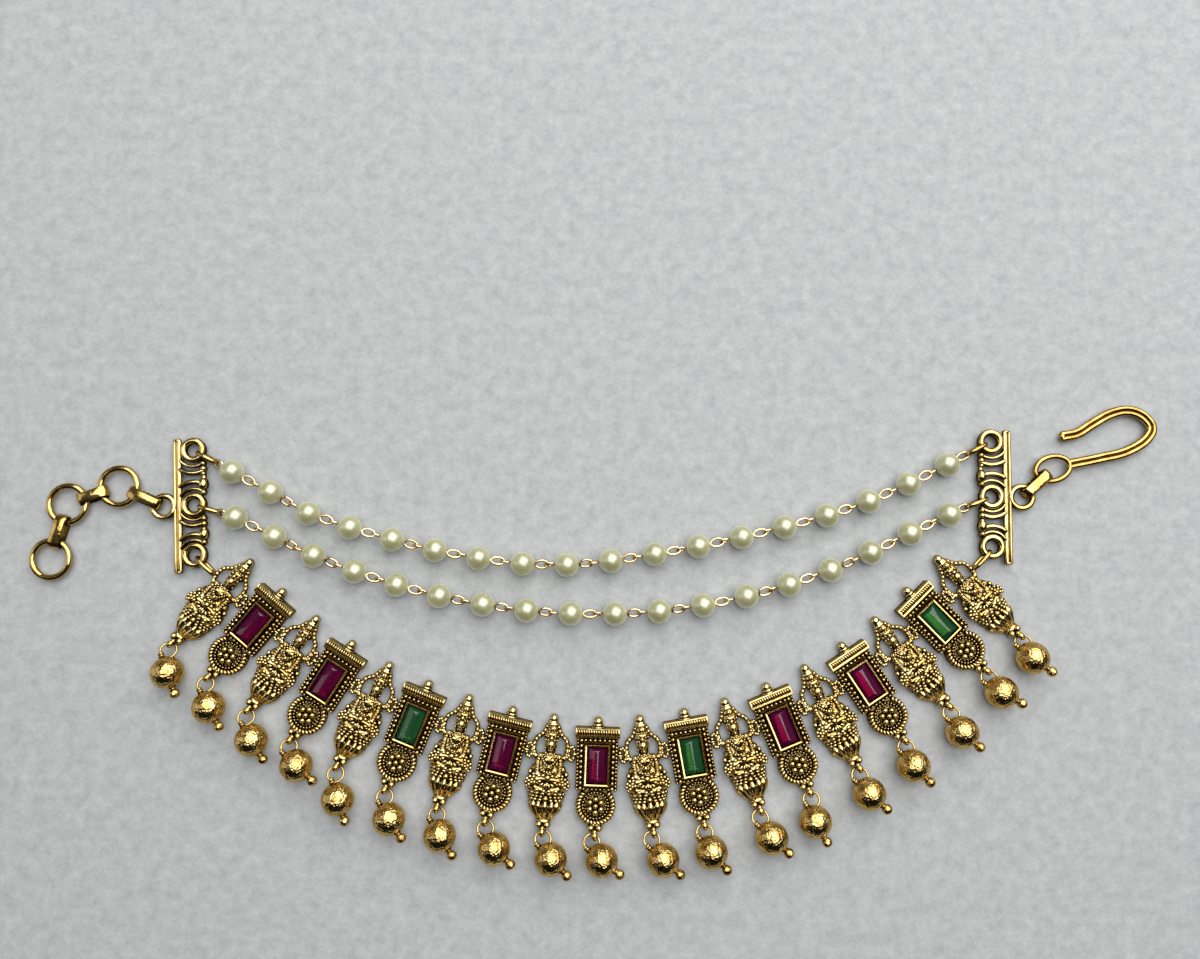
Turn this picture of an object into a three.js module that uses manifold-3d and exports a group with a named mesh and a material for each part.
// Ear chain: nineteen cast plaques with ball drops, hung from two openwork end bars, with two
// strings of pearls above them, an extension of rings and straps on the left and a hook on the right.
// Everything lies on a surface. Millimetres, X along the chain, Y towards the pearls, Z up.
import * as THREE from 'three';
import { mergeVertices } from 'three/addons/utils/BufferGeometryUtils.js';
import Module from 'manifold-3d';

const wasm = await Module();
wasm.setup();

const DEGREE = Math.PI / 180;

// Plaques, measured down from the top of the finial.
const linkLevel = 6.3;
const linkPitch = 7.7;
const eyeLevel = 19.0;
const eyeHeight = 1.5;
const eyeRadius = 0.8;
const sideLinkHeight = 1.2;
const castWire = 0.44;
const footBead = { offset: 0.58, height: 1.2, radius: 0.8 };

// Figure plaques: rows of half width and distance below the top, for the flat plate and for the
// seated figure that stands out from it.
const figureOutline = [
  [0.6, 1.3], [0.8, 3.1], [2.5, 3.3], [3.1, 4.6], [2.95, 7.0], [2.5, 7.6], [3.2, 9.6],
  [3.6, 11.4], [2.85, 13.2], [2.85, 14.1], [2.3, 14.6], [1.05, 17.3], [0.7, 18.3],
];
const figureRelief = [
  [0.5, 1.5], [1.1, 6.6], [2.0, 8.0], [1.8, 10.4], [3.2, 11.2], [3.2, 12.2], [0.9, 17.0],
];
const figurePlateDepth = 1.5;
const figureReliefDepth = 2.7;
const sideOpening = { offset: 1.85, level: 4.85, halfAcross: 0.55, halfAlong: 1.35 };
const figureFinial = { level: 0.8, height: 1.1, radius: 0.9 };
const figureBeadLevel = 18.0;

// Gem plaques.
const gemHalfWidth = 3.45;
const gemDepth = 2.3;
const capTop = 2.2;
const capBottom = 3.3;
const capHalfWidth = 3.65;
const bodyBottom = 12.1;
const bezelMiddle = 7.95;
const bezelHalf = { across: 2.15, along: 3.45 };
const pocketHalf = { across: 1.8, along: 3.05 };
const pocketFloor = 1.0;
const bezelTop = 3.0;
const stoneGap = 0.15;
const stoneTop = 2.9;
const stoneFacet = 0.6;
const capHeight = { low: 2.9, high: 2.2 };
const gemFinial = { level: 0.85, height: 1.2, radius: 0.95 };
const gemBeadLevel = 17.95;
const roundelLevel = 14.3;
const roundelRadius = 3.4;
const roundelDepth = 2.2;
const flowerRadius = { top: 1.2, foot: 2.2 };
const flowerHeight = 2.4;

// Side rings of the figure plaques and the staples of the gem plaques that they are threaded on.
const sideRing = { reach: 3.47, halfAcross: 0.44, halfAlong: 1.24, wire: 0.36 };
const staple = { wire: 0.26, halfHeight: 0.45, root: gemHalfWidth - 0.15 };

// Drops: a ball on a pin whose other end is bent into a ring and wrapped.
const ballRadius = 2.7;
const dropRing = { radius: 1.3, wire: 0.4, tilt: 27 * DEGREE };
const coilToBall = 3.0;
const ballToPinBead = 3.6;
const pinBeadRadius = 0.9;
const coilRadius = 0.5;

// Pearls.
const pearlRadius = 2.0;
const pearlCount = 18;
const pearlWire = 0.36;

// End bars, extension and hook.
const barLevel = 1.1;
const barWire = 0.85;
const barRingRadius = 1.7;
const barLoopRadius = 1.83;
const barLoopReach = 2.5;
const extensionWire = 1.0;
const extensionRadius = 3.1;
const strap = { width: 1.9, sheet: 0.3, clearance: 0.28 };
const jumpWire = 0.4;
const jumpHalfHeight = 0.9;
const cornerLinkHalfLength = 2.0;
const stringLinkHalfLength = 1.75;

// Plaques from left to right. lean: tilt of the plaque to the right; hang: way from the plaque's eye to
// the middle of the drop's ring; coil: way from there to the wrapped end of the pin; pin: way that the
// pin points. Ways are turned right from straight down. All in degrees.
const plaqueRows = [
  { lean: 43, hang: -15, coil: -45, pin: 22 },
  { lean: 40, hang: -12, coil: -30, pin: 30 },
  { lean: 36, hang: -8, coil: -20, pin: 33 },
  { lean: 32, hang: -4, coil: -40, pin: 49 },
  { lean: 27, hang: 0, coil: -20, pin: 20 },
  { lean: 22, hang: 4, coil: -40, pin: 35 },
  { lean: 16, hang: 5, coil: -60, pin: 35 },
  { lean: 14, hang: 8, coil: -35, pin: 48 },
  { lean: 6, hang: 10, coil: -40, pin: 46 },
  { lean: 2, hang: -22, coil: -40, pin: 53 },
  { lean: -7, hang: -17, coil: -25, pin: 50 },
  { lean: -10, hang: 0, coil: -50, pin: 42 },
  { lean: -18, hang: -6, coil: -25, pin: 49 },
  { lean: -22, hang: 10, coil: -50, pin: 29 },
  { lean: -28, hang: 0, coil: -45, pin: 49 },
  { lean: -33, hang: 5, coil: -60, pin: 44 },
  { lean: -40, hang: 12, coil: -35, pin: 49 },
  { lean: -44, hang: 16, coil: -45, pin: 61 },
  { lean: -46, hang: 18, coil: -60, pin: 52 },
];
const firstLinkPoint = { x: -60.9, y: 9.4 };
const stoneColours = ['red', 'red', 'green'];

// Routes of the pearl strings, through some of the pearls.
const upperRoute = [
  [-60.4, 28.6], [-54.2, 25.4], [-47.8, 21.8], [-34.2, 17.5], [-19.5, 14.2],
  [-5.0, 13.0], [9.9, 14.7], [32.3, 19.3], [46.6, 23.7], [59.8, 29.8],
];
const lowerRoute = [
  [-59.6, 20.9], [-53.8, 18.1], [-47.4, 15.0], [-33.5, 10.0], [-19.0, 6.6],
  [-4.1, 5.0], [10.8, 5.3], [25.3, 7.7], [39.4, 12.0], [59.8, 21.4],
];

// End bars. turn: tilt of the rod to the left; outward: side that the outer loop is on.
const endBars = {
  left: { x: -69.55, y: 22.9, turn: 2.9, outward: -1 },
  right: { x: 70.0, y: 24.4, turn: -1.0, outward: 1 },
};
const barRod = { length: 22.4, width: 1.3, depth: 1.3 };
const barRingLevels = [9.3, 0, -8.4];
const barRingOffset = 2.7;

// Extension rings and straps, and the hook's eye and shank.
const extensionRings = [
  { x: -79.7, y: 26.2 },
  { x: -88.2, y: 23.2 },
  { x: -90.6, y: 14.0 },
];
const hookEye = { x: 77.9, y: 29.2, halfAlong: 3.0, halfAcross: 2.05, turn: 15 };
const hookRoute = [
  [80.9, 29.95], [86.1, 31.0], [90.5, 32.1], [94.0, 34.2], [95.0, 36.2], [93.6, 38.2],
  [91.2, 39.1], [88.3, 38.6], [85.1, 36.9], [82.3, 35.2], [79.8, 34.7],
];
const hookWire = { width: 1.8, depth: 0.95 };

const materials = {
  antique: { color: 0xb08d3a, roughness: 0.35, metalness: 1.0 },
  polished: { color: 0xd9a441, roughness: 0.2, metalness: 1.0 },
  pearl: { color: 0xdcd8bc, roughness: 0.15, metalness: 0.0 },
  red: { color: 0x5a0f3c, roughness: 0.1, metalness: 0.0 },
  green: { color: 0x0f4a2c, roughness: 0.1, metalness: 0.0 },
};

// ---- Solids ----

function solidFrom(geometry) {
  geometry.deleteAttribute('normal');
  geometry.deleteAttribute('uv');
  const merged = mergeVertices(geometry, 1e-4);
  const corners = merged.index.array;
  const kept = [];
  for (let i = 0; i < corners.length; i += 3) {
    const [a, b, c] = corners.slice(i, i + 3);
    if (a !== b && b !== c && c !== a) kept.push(a, b, c);
  }
  return new wasm.Manifold(new wasm.Mesh({
    numProp: 3,
    vertProperties: new Float32Array(merged.attributes.position.array),
    triVerts: new Uint32Array(kept),
  }));
}

function join(geometries) {
  return geometries.map(solidFrom).reduce((whole, piece) => whole.add(piece));
}

function geometryOf(solid) {
  const mesh = solid.getMesh();
  const geometry = new THREE.BufferGeometry();
  geometry.setAttribute('position', new THREE.BufferAttribute(mesh.vertProperties, 3));
  geometry.setIndex(new THREE.BufferAttribute(mesh.triVerts, 1));
  geometry.computeVertexNormals();
  return geometry;
}

function pieceMesh(name, geometry, finish) {
  const mesh = new THREE.Mesh(geometry, new THREE.MeshStandardMaterial(materials[finish]));
  mesh.name = name;
  return mesh;
}

// ---- Shapes shared by the pieces ----

const ball = (x, y, z, radius, sides = 6, rings = 3) =>
  new THREE.SphereGeometry(radius, sides, rings).rotateX(Math.PI / 2).translate(x, y, z);

const box = (x, y, z, width, length, depth) =>
  new THREE.BoxGeometry(width, length, depth).translate(x, y, z);

// An oval ring of round wire in the XY plane. The half sizes run to the middle of the wire.
function ovalRing(halfX, halfY, wire, segments = 6, sides = 3) {
  const geometry = new THREE.TorusGeometry(1, 0.5, sides, segments);
  const positions = geometry.attributes.position;
  for (let i = 0; i < positions.count; i += 1) {
    const turn = Math.atan2(positions.getY(i), positions.getX(i));
    const outward = Math.hypot(positions.getX(i), positions.getY(i)) - 1;
    const normal = new THREE.Vector2(Math.cos(turn) / halfX, Math.sin(turn) / halfY).normalize();
    const x = halfX * Math.cos(turn) + outward * wire * normal.x;
    const y = halfY * Math.sin(turn) + outward * wire * normal.y;
    positions.setXYZ(i, x, y, positions.getZ(i) * wire);
  }
  return geometry;
}

// A straight rod between two points.
function rodBetween(from, to, radius, sides) {
  const start = new THREE.Vector3(...from);
  const end = new THREE.Vector3(...to);
  const along = end.clone().sub(start);
  const upright = new THREE.Vector3(0, 1, 0);
  const turn = new THREE.Quaternion().setFromUnitVectors(upright, along.clone().normalize());
  const geometry = new THREE.CylinderGeometry(radius, radius, along.length(), sides);
  const middle = start.add(end).multiplyScalar(0.5);
  return geometry.applyQuaternion(turn).translate(middle.x, middle.y, middle.z);
}

// A flat plate, mirrored about the Y axis, from rows of half width and distance below the top.
function mirroredPlate(rows, depth, openings = []) {
  const right = rows.map(([half, below]) => new THREE.Vector2(half, -below));
  const left = rows.map(([half, below]) => new THREE.Vector2(-half, -below)).reverse();
  const shape = new THREE.Shape([...right, ...left].reverse());
  shape.holes.push(...openings);
  return new THREE.ExtrudeGeometry(shape, { depth, bevelEnabled: false });
}

const cutFlatBack = (solid) => solid.subtract(solidFrom(box(0, -10, -5, 30, 40, 10)));

// The lower end of every plaque: two beads, and an eye on edge that the drop's ring goes through.
function plaqueFoot(beadLevel) {
  const eye = ovalRing(eyeRadius, eyeRadius, castWire, 8).rotateY(Math.PI / 2);
  return [
    ball(-footBead.offset, -beadLevel, footBead.height, footBead.radius),
    ball(footBead.offset, -beadLevel, footBead.height, footBead.radius),
    eye.translate(0, -eyeLevel, eyeHeight),
  ];
}

// ---- Figure plaque ----

// A jump link joined to an end plaque, on edge, that goes round the wire of the end bar's lowest ring.
function endLink(side) {
  const link = ovalRing(cornerLinkHalfLength, jumpHalfHeight, jumpWire, 8).rotateX(Math.PI / 2);
  const reach = sideRing.reach - sideRing.halfAcross + cornerLinkHalfLength;
  return link.translate(side * reach, -linkLevel, barLevel);
}

function figureSolid(openSides) {
  const { offset, level, halfAcross, halfAlong } = sideOpening;
  const corners = 6;
  const openings = [-1, 1].map((side) => {
    const oval = new THREE.Path()
      .absellipse(side * offset, -level, halfAcross, halfAlong, 0, 2 * Math.PI);
    return new THREE.Path(oval.getSpacedPoints(corners).slice(0, corners));
  });
  const parts = [
    mirroredPlate(figureOutline, figurePlateDepth, openings),
    mirroredPlate(figureRelief, figureReliefDepth),
    ball(0, -figureFinial.level, figureFinial.height, figureFinial.radius),
    ...plaqueFoot(figureBeadLevel),
  ];
  for (const side of openSides) {
    const ring = ovalRing(sideRing.halfAcross, sideRing.halfAlong, sideRing.wire);
    parts.push(ring.translate(side * sideRing.reach, -linkLevel, sideLinkHeight));
  }
  for (const side of [-1, 1].filter((value) => !openSides.includes(value))) {
    parts.push(endLink(side));
  }
  return cutFlatBack(join(parts));
}

// ---- Gem plaque and its stone ----

function gemSolid() {
  const capSection = new THREE.Shape([
    new THREE.Vector2(0, -capBottom), new THREE.Vector2(capHeight.low, -capBottom),
    new THREE.Vector2(capHeight.high, -capTop), new THREE.Vector2(0, -capTop),
  ]);
  const cap = new THREE.ExtrudeGeometry(capSection, { depth: 2 * capHalfWidth, bevelEnabled: false })
    .rotateY(-Math.PI / 2).translate(capHalfWidth, 0, 0);
  const bodyMiddle = -(capBottom + bodyBottom) / 2;
  const bezel = box(0, -bezelMiddle, bezelTop / 2, 2 * bezelHalf.across, 2 * bezelHalf.along, bezelTop);
  const roundel = new THREE.CylinderGeometry(roundelRadius, roundelRadius, roundelDepth, 10);
  const flower = new THREE.CylinderGeometry(flowerRadius.top, flowerRadius.foot, 1, 6);
  const parts = [
    cap,
    ball(0, -gemFinial.level, gemFinial.height, gemFinial.radius),
    box(0, -1.9, gemFinial.height, 1.2, 1.2, 1.6),
    box(0, bodyMiddle, gemDepth / 2, 2 * gemHalfWidth, bodyBottom - capBottom + 0.2, gemDepth),
    bezel,
    roundel.rotateX(Math.PI / 2).translate(0, -roundelLevel, roundelDepth / 2),
    flower.rotateX(Math.PI / 2).translate(0, -roundelLevel, flowerHeight),
    ...plaqueFoot(gemBeadLevel),
  ];
  for (const side of [-1, 1]) {
    const outer = linkPitch - sideRing.reach;
    const halfAcross = (outer - staple.root) / 2;
    const loop = ovalRing(halfAcross, staple.halfHeight, staple.wire).rotateX(Math.PI / 2);
    parts.push(loop.translate(side * (staple.root + halfAcross), -linkLevel, sideLinkHeight));
  }
  const pocket = box(0, -bezelMiddle, pocketFloor + 5, 2 * pocketHalf.across, 2 * pocketHalf.along, 10);
  return cutFlatBack(join(parts)).subtract(solidFrom(pocket));
}

function stoneSolid() {
  const half = { across: pocketHalf.across - stoneGap, along: pocketHalf.along - stoneGap };
  const outline = new THREE.Shape([
    new THREE.Vector2(-half.across, -half.along), new THREE.Vector2(half.across, -half.along),
    new THREE.Vector2(half.across, half.along), new THREE.Vector2(-half.across, half.along),
  ]);
  const stone = new THREE.ExtrudeGeometry(outline, {
    depth: stoneTop - pocketFloor - 2 * stoneGap - stoneFacet,
    bevelThickness: stoneFacet, bevelSize: stoneFacet, bevelOffset: -stoneFacet, bevelSegments: 1,
  });
  const low = pocketFloor + 2 * stoneGap;
  const trimmed = solidFrom(stone.translate(0, -bezelMiddle, low));
  return trimmed.subtract(solidFrom(box(0, -bezelMiddle, low - 5, 10, 10, 10)));
}

// ---- Drop ----

// Built around the eye of its plaque, with the ways of its ring and pin turned from straight down.
function dropSolid(row) {
  const way = (turn) => new THREE.Vector3(Math.sin(turn), -Math.cos(turn), 0);
  const hang = row.hang * DEGREE;
  const pin = row.pin * DEGREE;
  const up = new THREE.Vector3(0, 0, 1);
  const slope = way(hang).multiplyScalar(Math.cos(dropRing.tilt))
    .addScaledVector(up, Math.sin(dropRing.tilt));
  const across = way(hang + Math.PI / 2);
  const middle = new THREE.Vector3(0, 0, eyeHeight).addScaledVector(slope, dropRing.radius);
  const bend = row.coil * DEGREE - hang;
  const knot = middle.clone()
    .addScaledVector(slope, dropRing.radius * Math.cos(bend))
    .addScaledVector(across, dropRing.radius * Math.sin(bend));
  const centre = knot.clone().addScaledVector(way(pin), coilToBall).setZ(ballRadius);
  const axis = centre.clone().sub(knot).normalize();
  const pinBead = centre.clone().addScaledVector(axis, ballToPinBead);
  const frame = new THREE.Matrix4()
    .makeBasis(slope, across, slope.clone().cross(across)).setPosition(middle);
  const ring = ovalRing(dropRing.radius, dropRing.radius, dropRing.wire, 8).applyMatrix4(frame);
  return join([
    ring,
    rodBetween(knot.toArray(), pinBead.toArray(), coilRadius, 4),
    ball(centre.x, centre.y, centre.z, ballRadius, 8, 4),
    ball(pinBead.x, pinBead.y, pinBead.z, pinBeadRadius),
  ]);
}

// ---- Pearl strings ----

// Pearls joined along their thread by wire eyes, with the jump link at each end.
function stringSolid(route, endRings) {
  const curve = new THREE.CatmullRomCurve3(route.map(([x, y]) => new THREE.Vector3(x, y, pearlRadius)));
  const places = curve.getSpacedPoints(pearlCount - 1);
  const parts = places.map((place) => ball(place.x, place.y, place.z, pearlRadius, 8, 4));
  for (let i = 0; i + 1 < places.length; i += 1) {
    const from = places[i];
    const to = places[i + 1];
    const middle = from.clone().lerp(to, 0.5);
    const halfLength = from.distanceTo(to) / 2 - pearlRadius + 0.15;
    const link = ovalRing(halfLength, 0.6, pearlWire).rotateZ(Math.atan2(to.y - from.y, to.x - from.x));
    parts.push(link.translate(middle.x, middle.y, middle.z));
  }
  endRings.forEach((ring, end) => {
    const pearl = places[end * (places.length - 1)];
    const toPearl = Math.atan2(pearl.y - ring.y, pearl.x - ring.x);
    const way = new THREE.Vector2(Math.cos(toPearl), Math.sin(toPearl));
    const play = 0.2;
    const reach = barRingRadius - (barWire + jumpWire) / 2 - play + stringLinkHalfLength;
    const link = ovalRing(stringLinkHalfLength, jumpHalfHeight, jumpWire, 8)
      .rotateX(Math.PI / 2).rotateZ(toPearl);
    parts.push(link.translate(ring.x + way.x * reach, ring.y + way.y * reach, barLevel));
    const near = reach + stringLinkHalfLength - jumpWire / 2;
    const start = [ring.x + way.x * near, ring.y + way.y * near, barLevel + 0.1];
    parts.push(rodBetween(start, pearl.toArray(), pearlWire * 0.7, 4));
  });
  return join(parts);
}

// ---- End bars ----

// A ring of an end bar in the chain's frame.
function barRingPlace(bar, level) {
  const turn = bar.turn * DEGREE;
  const offset = new THREE.Vector2(-bar.outward * barRingOffset, level)
    .rotateAround(new THREE.Vector2(), turn);
  return { x: bar.x + offset.x, y: bar.y + offset.y };
}

// A flat crescent that lies against a ring of the bar.
function crescent(middle, from, to) {
  const radius = barRingRadius + 0.75;
  const corners = 4;
  const arc = (reach, start, end) => Array.from({ length: corners }, (_, i) => {
    const turn = start + (end - start) * i / (corners - 1);
    return new THREE.Vector2(barRingOffset + reach * Math.cos(turn), middle + reach * Math.sin(turn));
  });
  const outline = new THREE.Shape([...arc(radius + 0.4, from, to), ...arc(radius - 0.4, to, from)]);
  return new THREE.ExtrudeGeometry(outline, { depth: 0.8, bevelEnabled: false })
    .translate(0, 0, barLevel - 0.4);
}

// Built with its rings to the right of the rod, then mirrored if they belong to the left.
function endBarSolid(bar) {
  const parts = [box(0, 0, barLevel, barRod.width, barRod.length, barRod.depth)];
  for (const level of barRingLevels) {
    const ring = ovalRing(barRingRadius, barRingRadius, barWire, 10, 4);
    parts.push(ring.translate(barRingOffset, level, barLevel));
  }
  for (let i = 0; i + 1 < barRingLevels.length; i += 1) {
    const high = barRingLevels[i];
    const low = barRingLevels[i + 1];
    const stack = barRingOffset + barRingRadius + 0.4;
    parts.push(crescent(high, -1.95, -0.25), crescent(low, 0.25, 1.95));
    parts.push(rodBetween([stack, high - 0.6, barLevel], [stack, low + 0.6, barLevel], 0.45, 4));
  }
  const loop = ovalRing(barLoopRadius, barLoopRadius, barWire, 10, 4);
  parts.push(loop.translate(-barLoopReach, 0, barLevel));
  const whole = bar.outward < 0 ? join(parts) : join(parts).mirror([1, 0, 0]);
  return whole.rotate([0, 0, bar.turn]).translate([bar.x, bar.y, 0]);
}

// ---- Extension ----

function extensionRingSolid(place) {
  const ring = ovalRing(extensionRadius, extensionRadius, extensionWire, 16, 4);
  return solidFrom(ring.translate(place.x, place.y, barLevel));
}

// A flat strap bent round two wires. Each end: the middle of its ring, the ring's radius along the
// strap, and its wire. A ring's wire curves away under the strap's edges, so the strap reaches further.
function strapSolid(first, second) {
  const from = new THREE.Vector2(first.x, first.y);
  const to = new THREE.Vector2(second.x, second.y);
  const way = to.clone().sub(from).normalize();
  const chord = (end) => Math.sqrt(end.radius ** 2 - (strap.width / 2) ** 2);
  const start = from.addScaledVector(way, chord(first));
  const end = to.addScaledVector(way, -chord(second));
  const innerEnd = Math.max(first.wire, second.wire) / 2 + strap.clearance;
  const halfLength = start.distanceTo(end) / 2;
  const stadium = (radius) => {
    const shape = new THREE.Shape();
    shape.absarc(halfLength, 0, radius, -Math.PI / 2, Math.PI / 2, false);
    shape.absarc(-halfLength, 0, radius, Math.PI / 2, 3 * Math.PI / 2, false);
    return shape.getPoints(4).filter((point, i, all) => i === 0 || point.distanceTo(all[i - 1]) > 1e-3);
  };
  const outline = new THREE.Shape(stadium(innerEnd + strap.sheet));
  outline.holes.push(new THREE.Path(stadium(innerEnd)));
  const geometry = new THREE.ExtrudeGeometry(outline, { depth: strap.width, bevelEnabled: false })
    .translate(0, 0, -strap.width / 2).rotateX(Math.PI / 2);
  const middle = start.add(end).multiplyScalar(0.5);
  return solidFrom(geometry.rotateZ(way.angle()).translate(middle.x, middle.y, barLevel));
}

// ---- Hook ----

function hookSolid() {
  const eye = ovalRing(hookEye.halfAlong, hookEye.halfAcross, hookWire.depth, 12, 4)
    .rotateZ(hookEye.turn * DEGREE).translate(hookEye.x, hookEye.y, barLevel);
  const route = new THREE.CatmullRomCurve3(hookRoute.map(([x, y]) => new THREE.Vector3(x, y, barLevel)));
  const halfDepth = hookWire.depth / 2;
  const halfWidth = hookWire.width / 2;
  const section = new THREE.Shape([
    new THREE.Vector2(-halfDepth, -halfWidth / 2), new THREE.Vector2(0, -halfWidth),
    new THREE.Vector2(halfDepth, -halfWidth / 2), new THREE.Vector2(halfDepth, halfWidth / 2),
    new THREE.Vector2(0, halfWidth), new THREE.Vector2(-halfDepth, halfWidth / 2),
  ]);
  const shank = new THREE.ExtrudeGeometry(section, { steps: 24, extrudePath: route });
  return join([eye, shank]);
}

// ---- Assembly ----

const turnedPlaque = (row) => {
  const holder = new THREE.Group();
  holder.rotation.z = -row.lean * DEGREE;
  return holder;
};

// The plaques are linked side to side: each link point is half a pitch from both plaques' middles.
function plaquePlaces() {
  const places = [];
  let x = firstLinkPoint.x;
  let y = firstLinkPoint.y;
  plaqueRows.forEach((row, i) => {
    const lean = row.lean * DEGREE;
    if (i > 0) {
      x += Math.cos(lean) * linkPitch / 2;
      y -= Math.sin(lean) * linkPitch / 2;
    }
    places.push({
      top: [x + Math.sin(lean) * linkLevel, y + Math.cos(lean) * linkLevel],
      eye: [x - Math.sin(lean) * (eyeLevel - linkLevel), y - Math.cos(lean) * (eyeLevel - linkLevel)],
    });
    x += Math.cos(lean) * linkPitch / 2;
    y -= Math.sin(lean) * linkPitch / 2;
  });
  return places;
}

const earChain = new THREE.Group();
const gemGeometry = geometryOf(gemSolid());
const stoneGeometry = geometryOf(stoneSolid());
const places = plaquePlaces();

plaqueRows.forEach((row, i) => {
  const number = String(i + 1).padStart(2, '0');
  const holder = turnedPlaque(row);
  holder.position.set(places[i].top[0], places[i].top[1], 0);
  if (i % 2 === 0) {
    const openSides = [-1, 1].filter((side) => i + side >= 0 && i + side < plaqueRows.length);
    holder.add(pieceMesh(`figure_plaque_${number}`, geometryOf(figureSolid(openSides)), 'antique'));
  } else {
    const colour = stoneColours[((i - 1) / 2) % stoneColours.length];
    holder.add(pieceMesh(`gem_plaque_${number}`, gemGeometry, 'antique'));
    holder.add(pieceMesh(`${colour}_stone_${number}`, stoneGeometry, colour));
  }
  earChain.add(holder);
  const drop = pieceMesh(`ball_drop_${number}`, geometryOf(dropSolid(row)), 'polished');
  drop.position.set(places[i].eye[0], places[i].eye[1], 0);
  earChain.add(drop);
});

const ringsFor = (index) =>
  [endBars.left, endBars.right].map((bar) => barRingPlace(bar, barRingLevels[index]));
const strings = {
  upper: stringSolid(upperRoute, ringsFor(0)),
  lower: stringSolid(lowerRoute, ringsFor(1)),
};
for (const [name, solid] of Object.entries(strings)) {
  earChain.add(pieceMesh(`pearl_string_${name}`, geometryOf(solid), 'pearl'));
}

for (const [name, bar] of Object.entries(endBars)) {
  earChain.add(pieceMesh(`end_bar_${name}`, geometryOf(endBarSolid(bar)), 'antique'));
}

const barLoop = (bar) => {
  const reach = bar.outward * barLoopReach;
  const turn = bar.turn * DEGREE;
  return {
    x: bar.x + reach * Math.cos(turn), y: bar.y + reach * Math.sin(turn),
    radius: barLoopRadius, wire: barWire,
  };
};
const extensionEnds = extensionRings.map((place) => (
  { ...place, radius: extensionRadius, wire: extensionWire }
));
// The hook's eye is oval: where the strap crosses it, its wire is this far from its middle.
const eyeEnd = { x: hookEye.x, y: hookEye.y, radius: 2.2, wire: hookWire.depth + 0.09 };
const strapEnds = [
  [barLoop(endBars.left), extensionEnds[0]],
  [extensionEnds[0], extensionEnds[1]],
  [extensionEnds[1], extensionEnds[2]],
  [barLoop(endBars.right), eyeEnd],
];
extensionRings.forEach((place, i) => {
  earChain.add(pieceMesh(`extension_ring_${i + 1}`, geometryOf(extensionRingSolid(place)), 'polished'));
});
strapEnds.forEach(([first, second], i) => {
  earChain.add(pieceMesh(`strap_link_${i + 1}`, geometryOf(strapSolid(first, second)), 'polished'));
});
earChain.add(pieceMesh('ear_hook', geometryOf(hookSolid()), 'polished'));

// The origin is the middle of the chain's outline, on the surface that it lies on.
const outline = new THREE.Box3().setFromObject(earChain);
const middle = outline.getCenter(new THREE.Vector3());
earChain.position.set(-middle.x, -middle.y, -outline.min.z);

export default earChain;
